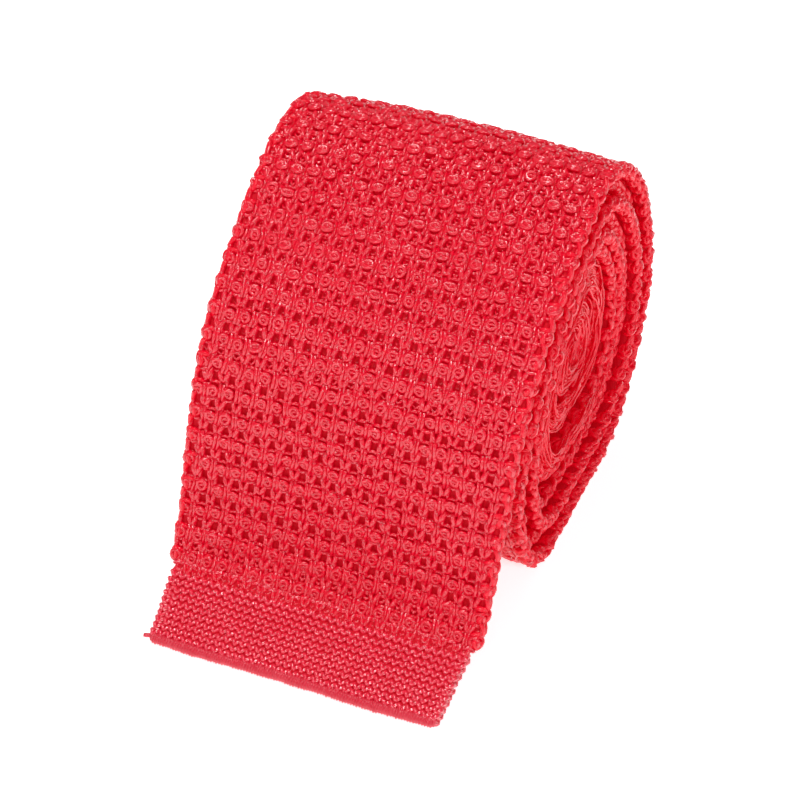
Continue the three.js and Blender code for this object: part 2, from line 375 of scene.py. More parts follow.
def yarnGroup():
    # fine filaments twisted round a yarn, from its own uv, with painted shade in the grooves between them and
    # slow random changes of colour
    group = bpy.data.node_groups.new("twistedYarn", "ShaderNodeTree")
    socket(group, "Yarn Colour", "NodeSocketColor", value=(0.7, 0.01, 0.03, 1))
    socket(group, "Patch And Shade Colour", "NodeSocketColor", value=(0.3, 0.003, 0.01, 1))
    socket(group, "Fibre Count", "NodeSocketFloat", value=5.0)
    socket(group, "Twist", "NodeSocketFloat", value=0.8)
    socket(group, "Patchiness", "NodeSocketFloat", value=0.25)
    socket(group, "Roughness", "NodeSocketFloat", value=0.4)
    socket(group, "Colour", "NodeSocketColor", "OUTPUT")
    socket(group, "Fibre Height", "NodeSocketFloat", "OUTPUT")
    socket(group, "Rough", "NodeSocketFloat", "OUTPUT")
    nodes, links = group.nodes, group.links
    given, result = nodes.new("NodeGroupInput").outputs, nodes.new("NodeGroupOutput").inputs
    coords, split = nodes.new("ShaderNodeTexCoord").outputs, nodes.new("ShaderNodeSeparateXYZ")
    links.new(coords["UV"], split.inputs[0])

    def maths(kind, *values):
        return addNode(group, "ShaderNodeMath", dict(enumerate(values)), operation=kind)

    def noise(scale, detail):
        wires = {"Vector": coords["Object"], "Scale": scale, "Detail": detail}
        return addNode(group, "ShaderNodeTexNoise", wires, "Fac")

    turned = maths("MULTIPLY", split.outputs[0], given["Twist"])
    around = maths("ADD", turned, split.outputs[1])
    phase = maths("MULTIPLY", maths("MULTIPLY", around, given["Fibre Count"]), math.pi)
    wave = maths("ABSOLUTE", maths("SINE", phase))
    rough, slow = noise(fibre["grainScale"], 2), noise(fibre["patchScale"], 3)
    grain = maths("MULTIPLY", maths("SUBTRACT", rough, 0.5), fibre["grainHeight"])
    fine = maths("MULTIPLY", maths("SINE", maths("MULTIPLY", phase, fibre["fineCount"])), fibre["fineHeight"])
    links.new(maths("ADD", maths("ADD", wave, grain), fine), result["Fibre Height"])
    # painted shade in the grooves between the plies, mixed below with the slow random patches of colour
    grooveShade = maths("SUBTRACT", 1.0, wave)
    patch = maths("MULTIPLY", slow, given["Patchiness"])
    share = maths("ADD", maths("MULTIPLY", grooveShade, fibre["grooveShadeShare"]), patch)
    # sockets 6 and 7 are the colours to mix, and output 2 is the mixed one
    wires = {"Factor": share, 6: given["Yarn Colour"], 7: given["Patch And Shade Colour"]}
    links.new(addNode(group, "ShaderNodeMix", wires, 2, data_type="RGBA"), result["Colour"])
    duller = maths("MULTIPLY_ADD", grooveShade, fibre["darkRoughness"], given["Roughness"])
    links.new(duller, result["Rough"])
    return group


# the painted glow is red emission standing in for light that soaks through the yarn and bounces in its
# hollows, and keeps them red; the bump is in metres
everyYarn = {"bumpDepth": 0.00015, "paintedGlowColour": (1.0, 0.0, 0.012, 1), "coatRoughness": 0.13}


def knitMaterial(name, group, values, bump, specular, paintedGlow, coat=0.0):
    material = bpy.data.materials.new(name)
    material.use_nodes = True
    nodes, links = material.node_tree.nodes, material.node_tree.links
    shader = nodes["Principled BSDF"]
    yarn = nodes.new("ShaderNodeGroup")
    yarn.node_tree = group
    for key, value in values.items():
        yarn.inputs[key].default_value = value
    bumpNode = nodes.new("ShaderNodeBump")
    bumpNode.inputs["Strength"].default_value = bump
    bumpNode.inputs["Distance"].default_value = everyYarn["bumpDepth"]
    links.new(yarn.outputs["Colour"], shader.inputs["Base Color"])
    links.new(yarn.outputs["Rough"], shader.inputs["Roughness"])
    links.new(yarn.outputs["Fibre Height"], bumpNode.inputs["Height"])
    links.new(bumpNode.outputs["Normal"], shader.inputs["Normal"])
    # painted glow: red emission standing in for light soaking through the yarn
    shader.inputs["Emission Color"].default_value = everyYarn["paintedGlowColour"]
    shader.inputs["Emission Strength"].default_value = paintedGlow
    shader.inputs["Specular IOR Level"].default_value = specular
    shader.inputs["Coat Weight"].default_value = coat
    shader.inputs["Coat Roughness"].default_value = everyYarn["coatRoughness"]
    return material


yarn = yarnGroup()
openYarn = knitMaterial("openYarn", yarn, {
    "Yarn Colour": (0.66, 0.003, 0.028, 1), "Patch And Shade Colour": (0.57, 0.001, 0.016, 1),
    "Fibre Count": 2, "Twist": 0.3, "Roughness": 0.17}, bump=0.4, specular=0.75, paintedGlow=0.18, coat=0.45)
# a lighter copy of the open yarn with more painted glow and less specular: painted light for the edges, the
# edge rings and the loose strands at the ends of the roll
lighterSideYarn = knitMaterial("lighterSideYarn", yarn, {
    "Yarn Colour": (0.72, 0.003, 0.026, 1), "Patch And Shade Colour": (0.62, 0.001, 0.015, 1),
    "Fibre Count": 2, "Twist": 0.3, "Roughness": 0.24}, bump=0.4, specular=0.45, paintedGlow=0.2)
# a darker, duller copy of the yarn for the strips inside the knit: painted shade in the holes and gaps
# between the stitches
shadedInsideYarn = knitMaterial("shadedInsideYarn", yarn, {
    "Yarn Colour": (0.5, 0.001, 0.012, 1), "Patch And Shade Colour": (0.4, 0.0005, 0.008, 1),
    "Fibre Count": 3, "Twist": 0.2, "Roughness": 0.6}, bump=0.3, specular=0.15, paintedGlow=0.14)
# paler and pinker than the open yarn: painted sheen for the broad pale highlights of the band's stitches
sheenBandYarn = knitMaterial("sheenBandYarn", yarn, {
    "Yarn Colour": (0.74, 0.018, 0.06, 1), "Patch And Shade Colour": (0.64, 0.006, 0.026, 1),
    "Fibre Count": 2, "Twist": 0.3, "Roughness": 0.24}, bump=0.35, specular=1.0, paintedGlow=0.14, coat=0.8)
hemYarn = knitMaterial("hemYarn", yarn, {
    "Yarn Colour": (0.64, 0.012, 0.045, 1), "Patch And Shade Colour": (0.5, 0.004, 0.02, 1),
    "Fibre Count": 3, "Twist": 0.2, "Roughness": 0.32}, bump=0.4, specular=0.8, paintedGlow=0.12)
print("yarns made")


# the stitches, each drawn once: x across, y along, z out of the cloth
def bothSides(path, radius, sides):
    # a strand on the left and its mirror image on the right
    return [tubeParts([(side * x, y, z) for x, y, z in path], radius, sides) for side in (-1, 1)]


def ringStitch(width=2.45, height=2.4, yarnRadius=0.4, segments=11, sides=5, filled=True, lean=0.3):
    a, b = width / 2 - yarnRadius, height / 2 - yarnRadius
    t = np.arange(segments) * 2 * math.pi / segments + math.pi / 2
    x, y = a * np.cos(t), b * np.sin(t)
    y = np.where(y > 0, b * np.abs(y / b) ** 0.6, y)  # a flatter top bar over a cup
    x = np.where(y < 0, x * (1 + 0.25 * y / b), x)
    z = np.where(y > 0, lean * y, (lean + 0.06) * y)
    ring = tubeParts(np.stack([x, y, z], 1), yarnRadius, sides, closed=True)
    if not filled:
        return ring
    across = tubeParts([(-0.6, 0.0, -0.15), (0, 0.1, 0.0), (0.6, 0.0, -0.15)], 0.42, 4)
    return joinParts([ring, across])


def veeStitch(sides=5):
    half = [(0.92, 1.4, -0.35), (0.78, 0.92, 0.0), (0.54, 0.2, 0.16), (0.3, -0.42, 0.12)]
    path = [(-x, y, z) for x, y, z in half] + [(0, -0.7, 0.02)] + half[::-1]
    return tubeParts(path, [0.4, 0.48, 0.5, 0.45, 0.4, 0.45, 0.5, 0.48, 0.4], sides)


def holeStrands(sides=4):
    # the two strands beside a hole, and the bars above and below it
    path = [(0.62, 1.4, 0.0), (0.98, 0.65, 0.0), (1.0, -0.55, 0.0), (0.62, -1.35, 0.0)]
    upper = [(-1.1, 1.25, -0.1), (0, 0.94, 0.1), (1.1, 1.25, -0.1)]
    lower = [(-1.0, -1.2, -0.1), (0, -1.0, 0.05), (1.0, -1.2, -0.1)]
    bars = [tubeParts(bar, [0.34, 0.42, 0.34], sides) for bar in (upper, lower)]
    return joinParts(bothSides(path, [0.4, 0.46, 0.46, 0.4], sides) + bars)


def closingLoop(sides=4):  # a small V under a bar, where the knit is tight and the hole is shut
    bar = [(-0.9, 0.62, -0.15), (0, 0.72, 0.08), (0.9, 0.62, -0.15)]
    vee = [(-0.7, 0.3, -0.12), (0, -0.5, 0.14), (0.7, 0.3, -0.12)]
    return joinParts([tubeParts(path, [0.3, 0.38, 0.3], sides) for path in (bar, vee)])


def slitStrands(sides=4):
    path = [(0.3, 1.5, 0.1), (0.38, 0.0, 0.0), (0.3, -1.5, 0.1)]
    return joinParts(bothSides(path, [0.46, 0.54, 0.46], sides))


def bent(shape, seed, amount):
    # the same stitch, pulled a little out of shape
    verts, faces, uvs = shape
    rng = np.random.default_rng(seed)
    waves, phase = rng.uniform(0.8, 2.2, (3, 3)), rng.uniform(0, fullTurn, 3)
    return verts + amount * np.sin(verts @ waves + phase), faces, uvs


def edgeLoop(yarnRadius, sides, tall, lean, side):
    # a loop round the right edge, or mirrored for the left one
    upper = [(-1.9, -lean, tall - 0.25), (-0.9, -lean * 0.8, tall + 0.02), (-0.1, -lean * 0.4, tall * 0.72)]
    lower = [(x, -y, -z) for x, y, z in upper[::-1]]
    verts, faces, uvs = tubeParts(upper + [(0.0, 0, 0)] + lower, yarnRadius, sides)
    if side < 0:
        faces = [tuple(reversed(face)) for face in faces]
    return verts * (side, 1, 1), faces, uvs


def jerseyVee(sides):
    path = [
        (0.04, -0.85, -0.5), (0.12, -0.48, -0.04), (0.4, -0.05, 0.16), (0.68, 0.3, 0.16),
        (0.7, 0.72, -0.3),
    ]
    return joinParts(bothSides(path, [0.24, 0.36, 0.42, 0.4, 0.26], sides))


def bindArc(sides=5):
    path = [
        (-1.0, -0.35, -0.35), (-0.62, -0.05, 0.02), (0.0, 0.22, 0.18), (0.62, 0.05, 0.02),
        (1.0, -0.3, -0.35),
    ]
    return tubeParts(path, [0.3, 0.42, 0.46, 0.42, 0.3], sides)


def stitchTree():
    # the tree that knits: a stitch on each point, turned to the cloth
    tree = bpy.data.node_groups.new("stitchScatter", "GeometryNodeTree")
    for name, kind, value in (
        ("Points", "NodeSocketGeometry", None), ("Stitch", "NodeSocketObject", None),
        ("Seed", "NodeSocketInt", 1), ("Turn Spread", "NodeSocketFloat", 0.08),
        ("Size Spread", "NodeSocketFloat", 0.06), ("Yarn", "NodeSocketMaterial", None),
    ):
        socket(tree, name, kind, value=value)
    socket(tree, "Stitches", "NodeSocketGeometry", "OUTPUT")
    given, result = tree.nodes.new("NodeGroupInput").outputs, tree.nodes.new("NodeGroupOutput").inputs

    def named(name):
        return addNode(tree, "GeometryNodeInputNamedAttribute", {"Name": name}, data_type="FLOAT_VECTOR")

    def spread(about, amount, seedStep):
        low = addNode(tree, "ShaderNodeMath", {0: about, 1: amount}, operation="SUBTRACT")
        high = addNode(tree, "ShaderNodeMath", {0: about, 1: amount}, operation="ADD")
        seed = addNode(tree, "ShaderNodeMath", {0: given["Seed"], 1: seedStep}, operation="ADD")
        wires = {"Min": low, "Max": high, "Seed": seed}
        return addNode(tree, "FunctionNodeRandomValue", wires, data_type="FLOAT_VECTOR")

    facing = addNode(tree, "FunctionNodeAxesToRotation", {0: named("outward"), 1: named("onward")},
                     primary_axis="Z", secondary_axis="Y")
    wobble = addNode(tree, "FunctionNodeEulerToRotation", {0: spread(0.0, given["Turn Spread"], 0)})
    turned = addNode(tree, "FunctionNodeRotateRotation", {0: facing, 1: wobble}, rotation_space="LOCAL")
    wires = {0: named("size"), 1: spread(1.0, given["Size Spread"], 7)}
    sized = addNode(tree, "ShaderNodeVectorMath", wires, operation="MULTIPLY")
    shape = addNode(tree, "GeometryNodeObjectInfo", {"Object": given["Stitch"]}, "Geometry",
                    transform_space="ORIGINAL")
    wires = {"Points": given["Points"], "Instance": shape, "Rotation": turned, "Scale": sized}
    scattered = addNode(tree, "GeometryNodeInstanceOnPoints", wires)
    realized = addNode(tree, "GeometryNodeRealizeInstances", {0: scattered})
    dyed = addNode(tree, "GeometryNodeSetMaterial", {"Geometry": realized, "Material": given["Yarn"]})
    tree.links.new(dyed, result[0])
    return tree


scatterTree = stitchTree()


def knit(name, shape, s, u, h, material, seed, turnSpread, sizeSpread,
         across=1.0, deep=1.0, side=1, edge=0, tilt=90):
    # one stitch shape at each (s, u, h) of the cloth; side -1 turns it to the wrong side,
    # edge -1 or 1 tilts it out towards the left or right edge
    placing = np.broadcast_arrays(*[np.asarray(v, float) for v in (s, u, h, across, deep)])
    s, u, h, across, deep = [v.ravel() for v in placing]
    points = onCloth(s, u, h * side)
    _, _, _, _, wayY, wayZ = lineAt(s)
    nothing = np.zeros_like(wayY)
    outward = np.stack([nothing, -wayZ, wayY], 1) * side
    if edge:
        lean = math.radians(tilt)
        outward = math.cos(lean) * outward + math.sin(lean) * np.stack([nothing + edge, nothing, nothing], 1)
    onward = np.stack([nothing, wayY, wayZ], 1)
    cloud = newMesh(name + "Points", points, [], smooth=False)
    stitchObj = newMesh(name + "Shape", *shape)
    fixOutward(stitchObj)
    size = np.stack([across, np.ones_like(across), deep], 1)
    for attribute, data in (("outward", outward), ("onward", onward), ("size", size)):
        layer = cloud.data.attributes.new(attribute, "FLOAT_VECTOR", "POINT")
        layer.data.foreach_set("vector", data.astype(np.float32).ravel())
    modifier = cloud.modifiers.new("knit", "NODES")
    modifier.node_group = scatterTree
    given = [item for item in scatterTree.interface.items_tree if item.in_out == "INPUT"]
    sockets = {item.name: item.identifier for item in given}
    for wanted, value in (
        ("Stitch", stitchObj), ("Seed", seed), ("Turn Spread", turnSpread), ("Size Spread", sizeSpread),
        ("Yarn", material),
    ):
        modifier[sockets[wanted]] = value
    seen = bpy.context.evaluated_depsgraph_get()
    mesh = bpy.data.meshes.new_from_object(cloud.evaluated_get(seen))
    mesh.name = name
    obj = bpy.data.objects.new(name, mesh)
    bpy.context.collection.objects.link(obj)
    for old in (cloud, stitchObj):
        bpy.data.objects.remove(old, do_unlink=True)
    return obj


def joined(name, objects, material):
    # one piece from several, as one mesh at the origin
    work = bmesh.new()
    for obj in objects:
        work.from_mesh(obj.data)
    mesh = bpy.data.meshes.new(name)
    work.to_mesh(mesh)
    work.free()
    mesh.materials.append(material)
    mesh.polygons.foreach_set("material_index", [0] * len(mesh.polygons))
    mesh.polygons.foreach_set("use_smooth", [True] * len(mesh.polygons))
    for attribute in [a.name for a in mesh.attributes if a.name in ("outward", "onward", "size")]:
        mesh.attributes.remove(mesh.attributes[attribute])
    obj = bpy.data.objects.new(name, mesh)
    bpy.context.collection.objects.link(obj)
    for old in objects:
        bpy.data.objects.remove(old, do_unlink=True)
    print(name, "triangles", sum(len(p.vertices) - 2 for p in mesh.polygons))
    return obj


def stripCloth(name, places, thickness, inset, material, edgeThickness=None, sunk=0.0):
    # a closed thin strip at the middle of the cloth, with rounded long edges
    bead = (edgeThickness or thickness) / 2
    edge = [  # inwards from the edge, up
        (bead + 1.3, thickness / 2), (bead + 0.5, bead * 0.85), (bead * 0.75, bead),
        (bead * 0.2, bead * 0.7), (0, 0),
    ]
    edge += [(e, -rise) for e, rise in edge[-2::-1]]
    cross, uvPoints = 12, 3  # points across each face, and points round for one turn of the uv
    rows = []
    for s in places:
        half = widthAt(s) / 2 - inset
        thin = float(lineAt(s)[3]) / tie["frontThickness"]
        right = [(half - e, rise * thin) for e, rise in edge]
        left = [(-u, rise) for u, rise in right[::-1]]
        under = [(x, right[-1][1]) for x in np.linspace(right[-1][0], left[0][0], cross)[1:-1]]
        over = [(x, right[0][1]) for x in np.linspace(left[-1][0], right[0][0], cross)[1:-1]]
        ringPoints = right + under + left + over
        rows.append(onCloth(s, [p[0] for p in ringPoints], [p[1] - sunk * thin for p in ringPoints]))
    ring = len(rows[0])
    verts = np.concatenate(rows)
    faces, uvs = [], []
    for i in range(len(rows) - 1):
        for j in range(ring):
            k = (j + 1) % ring
            faces.append((i * ring + j, (i + 1) * ring + j, (i + 1) * ring + k, i * ring + k))
            here, there, low, high = places[i], places[i + 1], j / uvPoints, (j + 1) / uvPoints
            uvs += [(here, low), (there, low), (there, high), (here, high)]
    end = (len(rows) - 1) * ring
    faces.append(tuple(range(ring)))
    faces.append(tuple(end + j for j in range(ring - 1, -1, -1)))
    uvs += [(places[0], 0)] * ring + [(places[-1], 0)] * ring
    obj = newMesh(name, verts, faces, uvs)
    obj.data.materials.append(material)
    fixOutward(obj)
    return obj


def ripple(seed, least=8, most=40):
    # a slow uneven wave over the cloth, from about -1 to 1
    rng = np.random.default_rng(seed)
    count, height = 6, 1.6
    waves = [
        (rng.uniform(least, most), rng.uniform(least, most), rng.uniform(0, fullTurn)) for _ in range(count)
    ]

    def at(s, u):
        turns = [np.sin(s * fullTurn / a + u * fullTurn / b + phase) for a, b, phase in waves]
        return sum(turns) / count * height

    return at


# the open knit: lengths along the tie count from its free end
openKnit = {
    "rowPitch": 4.6, "firstRow": 1.4, "lastRow": 1.0, "rings": 20, "edgeInset": 1.1, "strandInset": 1.4,
    "ringHeight": 0.86, "veeHeight": 0.5, "strandHeight": 0.46, "slitHeight": 0.5, "narrowing": 0.8,
    "shutFrom": 56, "shutRun": 50, "shutAtJoin": 5, "shutDepth": 0.9, "shutSunk": 0.02,
    "rollFrom": 56, "rollRun": 50, "slitDrop": 0.35, "shutDrop": 0.06,
    "flapTo": 118, "topTo": 215, "underTo": 62, "facingTo": 440, "backEndRun": 40,
    "underJoin": 3, "edgeColumns": [0, 1, 18, 19],
}
# how far the stitches stray: slow waves, and noise from stitch to stitch
uneven = {
    "along": 0.3, "across": 0.16, "height": 0.1, "alongNoise": 0.07, "acrossNoise": 0.06, "heightNoise": 0.04,
}
# the thin strip inside the stitches, in a darker yarn: painted shade in the holes between them
innerCloth = {
    "thickness": 0.3, "edgeThickness": 1.3, "sunk": 0.2, "inset": 0.7,
    "firstStep": 1.5, "lastStep": 1, "step": 2.3, "foldRun": 6, "foldStep": 0.4,
}
bodyFrom = tie["frontBandLength"] + tie["joinGap"]
bodyTo = tieLength - tie["backBandLength"] - tie["joinGap"]
openTurns = 1.035  # this much of the roll has no turn over it
rollEnd = float(np.interp(openTurns, lineRows[:frontCount, 2], lineAlong[:frontCount]))
waveAlong, waveAcross, waveHeight = ripple(3), ripple(5), ripple(8, least=5, most=16)
print("tie length", round(tieLength, 1), "turns", round(turnCount, 2), "roll end", round(rollEnd, 1))


def rowPlaces(fromS, toS, offset=0.0):
    first = bodyFrom + openKnit["firstRow"] + offset
    rows = np.arange(first, bodyTo - openKnit["lastRow"], openKnit["rowPitch"])
    return rows[(rows >= fromS) & (rows < toS)]


def columns(count, s, between=False):
    # where the columns lie across the cloth, for each row
    half = widthAt(s)[:, None] / 2 - openKnit["edgeInset"]
    share = np.linspace(-1, 1, count)
    if between:
        share = (share[1:] + share[:-1]) / 2
    return half * share[None, :]


def openStitches(name, fromS, toS, seed, side=1, columnsWanted=None, fine=True):
    # all the stitches between two places along the tie, or only the rings of the columns wanted
    made, variants = [], 3
    rng = np.random.default_rng(seed)
    ringS = rowPlaces(fromS, toS)
    veeS = rowPlaces(fromS, toS, -openKnit["rowPitch"] / 2)

    def lay(label, shape, s, height, turnSpread, sizeSpread, bend, between=False):
        u = columns(openKnit["rings"], s, between)
        sAll = np.broadcast_to(s[:, None], u.shape)
        if columnsWanted is not None:
            u, sAll = u[:, columnsWanted], sAll[:, columnsWanted]
        across = (widthAt(s)[:, None] / tie["bodyWidth"]) ** openKnit["narrowing"]
        across = np.broadcast_to(across, u.shape)
        deep = np.broadcast_to(np.minimum(1, lineAt(s)[3][:, None] / tie["frontThickness"]), u.shape)
        sMoved = sAll + uneven["along"] * waveAlong(sAll, u) + rng.normal(0, uneven["alongNoise"], u.shape)
        uMoved = u + uneven["across"] * waveAcross(sAll, u) + rng.normal(0, uneven["acrossNoise"], u.shape)
        if label == "Shut":  # the holes grow shallower up the flap, and the first row is tight
            stillOpen = 1 - eased((sAll - openKnit["shutFrom"]) / openKnit["shutRun"])
            stillOpen = np.where(sAll < bodyFrom + openKnit["shutAtJoin"], 0, stillOpen)
            height = height - openKnit["shutSunk"] - openKnit["shutDepth"] * stillOpen
        if label in ("Hole", "Shut"):  # their ends stay under the edge yarn
            inside = widthAt(sAll) / 2 - openKnit["strandInset"]
            uMoved = np.clip(uMoved, -inside, inside)
        rolled = eased((sAll - openKnit["rollFrom"]) / openKnit["rollRun"])
        if label == "Slit":
            height = height - openKnit["slitDrop"] * rolled
        if label == "Shut":
            height = height - openKnit["shutDrop"] * rolled
        noise = rng.normal(0, uneven["heightNoise"], u.shape)
        lift = (height + uneven["height"] * waveHeight(sAll, u) + noise) * deep
        kind = rng.integers(0, variants, u.shape)
        if len(shape) == 2:  # a second shape takes over on the roll
            kind = kind + variants * (rng.random(u.shape) < rolled)
        for k in np.unique(kind):
            pick = kind == k
            drawn = shape if len(shape) == 3 else shape[k // variants]
            made.append(knit(
                f"{name}{label}{k}", bent(drawn, 10 * seed + int(k), bend), sMoved[pick], uMoved[pick],
                lift[pick], openYarn, seed + int(k), turnSpread, sizeSpread,
                across=across[pick], deep=deep[pick], side=side,
            ))

    if columnsWanted is not None:
        plain = ringStitch(segments=8, sides=4, filled=False)
        lay("Ring", plain, ringS, openKnit["ringHeight"], turnSpread=0.2, sizeSpread=0.12, bend=0.1)
        return pressFlat(joined(name, made, lighterSideYarn))
    segments, sides = (11, 5) if fine else (9, 4)
    upright = ringStitch(segments=segments, sides=sides)
    flatter = ringStitch(2.8, 2.05, 0.42, segments, sides, lean=-0.16)  # a bar over a cup
    lay("Ring", (upright, flatter), ringS, openKnit["ringHeight"], turnSpread=0.13, sizeSpread=0.08, bend=0.1)
    lay("Vee", veeStitch(sides), veeS, openKnit["veeHeight"], turnSpread=0.1, sizeSpread=0.08, bend=0.09,
        between=True)
    lay("Hole", holeStrands(), veeS, openKnit["strandHeight"], turnSpread=0.08, sizeSpread=0.06, bend=0.06)
    inRoll = (veeS > openKnit["shutFrom"]) & (veeS < bodyTo - openKnit["shutFrom"])
    tight = veeS[(veeS < bodyFrom + openKnit["shutAtJoin"]) | inRoll]
    if len(tight):
        lay("Shut", closingLoop(), tight, openKnit["strandHeight"], turnSpread=0.12, sizeSpread=0.1, bend=0.1)
    lay("Slit", slitStrands(), ringS, openKnit["slitHeight"], turnSpread=0.12, sizeSpread=0.08, bend=0.08,
        between=True)
    return pressFlat(joined(name, made, openYarn))


coarse = np.arange(bodyFrom + innerCloth["firstStep"], bodyTo - innerCloth["lastStep"], innerCloth["step"])
atFold = np.arange(foldAt - innerCloth["foldRun"], foldAt + innerCloth["foldRun"], innerCloth["foldStep"])
bodyPlaces = np.unique(np.concatenate([[bodyFrom], coarse, [bodyTo], atFold]))
bodyCloth = stripCloth("bodyCloth", bodyPlaces, innerCloth["thickness"], innerCloth["inset"], shadedInsideYarn,
                       innerCloth["edgeThickness"], innerCloth["sunk"])
pressFlat(bodyCloth)
flapFrom, flapTo, topTo = bodyFrom - openKnit["underJoin"], openKnit["flapTo"], openKnit["topTo"]
backEndFrom, edgeColumns = bodyTo - openKnit["backEndRun"], openKnit["edgeColumns"]
flapStitches = openStitches("flapStitches", flapFrom, flapTo, seed=11)
rollStitches = openStitches("rollStitches", flapTo, topTo, seed=23)
rollBackStitches = openStitches("rollBackStitches", topTo, rollEnd, seed=29, fine=False)
underStitches = openStitches("underStitches", bodyFrom, openKnit["underTo"], side=-1, seed=37, fine=False)
backStitches = openStitches("backStitches", backEndFrom, bodyTo, seed=41, fine=False)
innerRings = openStitches("innerRings", rollEnd, backEndFrom, seed=43, columnsWanted=edgeColumns)
facingRings = openStitches("facingRings", flapTo, openKnit["facingTo"], seed=47, side=-1,
                           columnsWanted=edgeColumns)
print("open knit done")

# plump loops and rings round the fold of the knitted tube at both long edges
edgeKnit = {
    "endGap": 1.2, "wander": 0.12, "sway": 0.08, "ringInset": 0.55, "ringHeight": 0.5, "ringTilt": 52,
    "veeInset": 0.45, "loopInset": 0.35, "loopLag": 0.9,
}


def edgeYarn(name, edge, seed):
    made = []
    rows = rowPlaces(bodyFrom, bodyTo)
    rng = np.random.default_rng(seed)

    def lay(label, shape, offset, inset, height, turnSpread, **placing):
        s = rows + offset + rng.normal(0, edgeKnit["wander"], len(rows))
        s = s[(s > bodyFrom + edgeKnit["endGap"]) & (s < bodyTo - edgeKnit["endGap"])]
        thin = np.minimum(1, lineAt(s)[3] / tie["frontThickness"])
        u = edge * (widthAt(s) / 2 - inset + rng.normal(0, edgeKnit["sway"], len(s)))
        drawn = bent(shape, seed + len(made), 0.1)
        made.append(knit(name + label, drawn, s, u, height * thin, openYarn, seed, turnSpread, sizeSpread=0.1,
                         **placing))

    halfRow = openKnit["rowPitch"] / 2
    plump = ringStitch(width=2.5, height=2.9, yarnRadius=0.5, segments=10, sides=4)
    for label, side, offset in (("Upper", 1, 0.0), ("Lower", -1, 0.1)):
        lay(label, plump, offset, edgeKnit["ringInset"], edgeKnit["ringHeight"], turnSpread=0.2,
            edge=edge, tilt=edgeKnit["ringTilt"], side=side)
    lay("Vee", veeStitch(sides=4), -halfRow, edgeKnit["veeInset"], 0.0, turnSpread=0.16, edge=edge)
    loop = edgeLoop(yarnRadius=0.5, sides=4, tall=0.8, lean=0.3, side=edge)
    lay("Between", loop, halfRow - edgeKnit["loopLag"], edgeKnit["loopInset"], 0.0, turnSpread=0.14)
    return pressFlat(joined(name, made, lighterSideYarn))


rightEdge = edgeYarn("rightEdge", 1, 70)
leftEdge = edgeYarn("leftEdge", -1, 80)
print("edges done")


# loose strands over the ends of the innermost turns, and a few round the middle
core = {
    "strands": 150, "reach": 150, "least": 9, "most": 22, "spread": 1.5, "radius": 0.21,
    "outLeast": -0.1, "outMost": 0.7, "middleStrands": 26, "middleTurn": 80, "middleTall": 1.3,
}


def looseStrands():
    rng, steps, sides = np.random.default_rng(19), 10, 4
    parts = []
    for k in range(2 * core["strands"]):
        edge = 1 if k % 2 == 0 else -1
        length = rng.uniform(core["least"], core["most"])
        s = foldAt + rng.uniform(-core["reach"], core["reach"]) + np.linspace(0, length, steps)
        phase = rng.uniform(0, fullTurn, 3)
        out = rng.uniform(core["outLeast"], core["outMost"]) + 0.25 * np.sin(s * 0.5 + phase[0])
        h = rng.uniform(-core["spread"], core["spread"]) + 0.35 * np.sin(s * 0.35 + phase[1])
        h = h + 0.1 * np.sin(s * 1.3 + phase[2])
        path = onCloth(s, edge * (widthAt(s) / 2 + out), h)
        parts.append(tubeParts(path, core["radius"] * rng.uniform(0.8, 1.25), sides))
    turnsIn = lineRows[frontCount - core["middleTurn"] : frontCount, :2]
    centre = (turnsIn.min(axis=0) + turnsIn.max(axis=0)) / 2 + (moveY, 0)
    for k in range(2 * core["middleStrands"]):
        edge = 1 if k % 2 == 0 else -1
        size = rng.uniform(0.8, 4.2)
        angle = rng.uniform(0, fullTurn) + np.linspace(0, rng.uniform(1.5, 3.2), steps)
        off = rng.normal(0, 0.5, 2)
        y = centre[0] + off[0] + size * np.cos(angle)
        z = centre[1] + off[1] + size * core["middleTall"] * np.sin(angle)
        x = moveX + edge * (widthAt(foldAt) / 2 + rng.uniform(-1.2, 0.3)) + 0.2 * np.sin(2 * angle)
        parts.append(tubeParts(np.stack([x, y, z], 1), core["radius"] * rng.uniform(0.8, 1.2), sides))
    obj = newMesh("coreStrands", *joinParts(parts))
    obj.data.materials.append(lighterSideYarn)
    return fixOutward(obj)


coreStrands = looseStrands()
print("loose strands done")

# the plain bands; the first and last values count from the hem's outer edge and from the join
band = {
    "veesAcross": 37, "course": 1.5, "firstCourse": 1.85, "lastCourse": 0.7,
    "veeInset": 0.75, "veeHeight": 0.72, "wander": 0.04, "wave": 0.1, "sway": 0.03,
    "clothThickness": 1.2, "clothInset": 0.5, "clothFrom": 1.1, "clothFirst": 2.0, "clothStep": 1.5,
    "bindInset": 1.9, "bindHeight": 0.3, "bindPast": 0.2, "bindWander": 0.12,
    "selvedgeFrom": 1.5, "selvedgeTo": 0.2, "selvedgeStep": 1.0, "selvedgeInset": 0.1,
}


